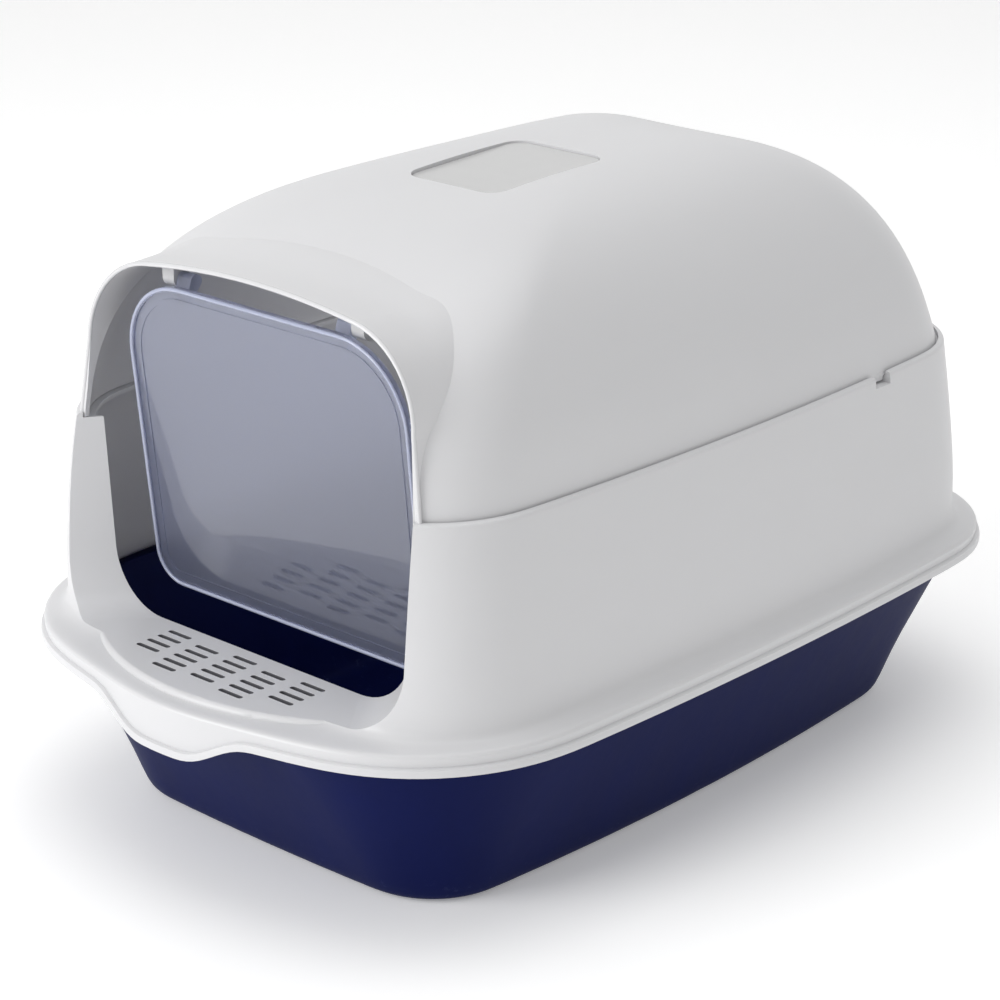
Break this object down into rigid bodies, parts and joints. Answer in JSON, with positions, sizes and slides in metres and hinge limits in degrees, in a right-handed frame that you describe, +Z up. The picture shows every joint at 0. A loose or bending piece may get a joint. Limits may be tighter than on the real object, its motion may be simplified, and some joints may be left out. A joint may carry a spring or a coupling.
{
  "type": "cat litter box with hood",
  "caption": "Covered cat litter box: open tray, two-part domed hood with an arched entrance, a step with drain slots and a hanging see-through flap.",
  "frame": {"origin": "centre of the footprint, on the floor under the tray", "axes": "+Z up, entrance and flap face -Y, length along Y, mirror-symmetric about X = 0"},
  "size_m": [0.4, 0.594, 0.3728],
  "materials": {
    "navy_plastic": "satin",
    "white_plastic": "satin",
    "grey_plate": "gloss",
    "frosted_plastic": "frosted, see-through",
    "clear_white_plastic": "satin"
  },
  "bodies": {
    "tray": {"litter_tray": "navy_plastic"},
    "lower_hood": {"lower_hood": "white_plastic"},
    "upper_hood": {"upper_hood": "white_plastic", "roof_plate": "grey_plate", "flap_bracket_left": "clear_white_plastic", "flap_bracket_right": "clear_white_plastic"},
    "flap": {"flap": "frosted_plastic"}
  },
  "joints": [
    {"name": "hood_lift", "type": "slide", "parent": "tray", "child": "lower_hood", "axis": [0, 0, 1], "range_m": [0, 0.2]},
    {"name": "top_lift", "type": "slide", "parent": "lower_hood", "child": "upper_hood", "axis": [0, 0, 1], "range_m": [0, 0.15]},
    {"name": "flap_swing", "type": "hinge", "parent": "upper_hood", "child": "flap", "pos_m": [0, -0.203, 0.331], "axis": [1, 0, 0], "range_deg": [-60, 80]}
  ]
}
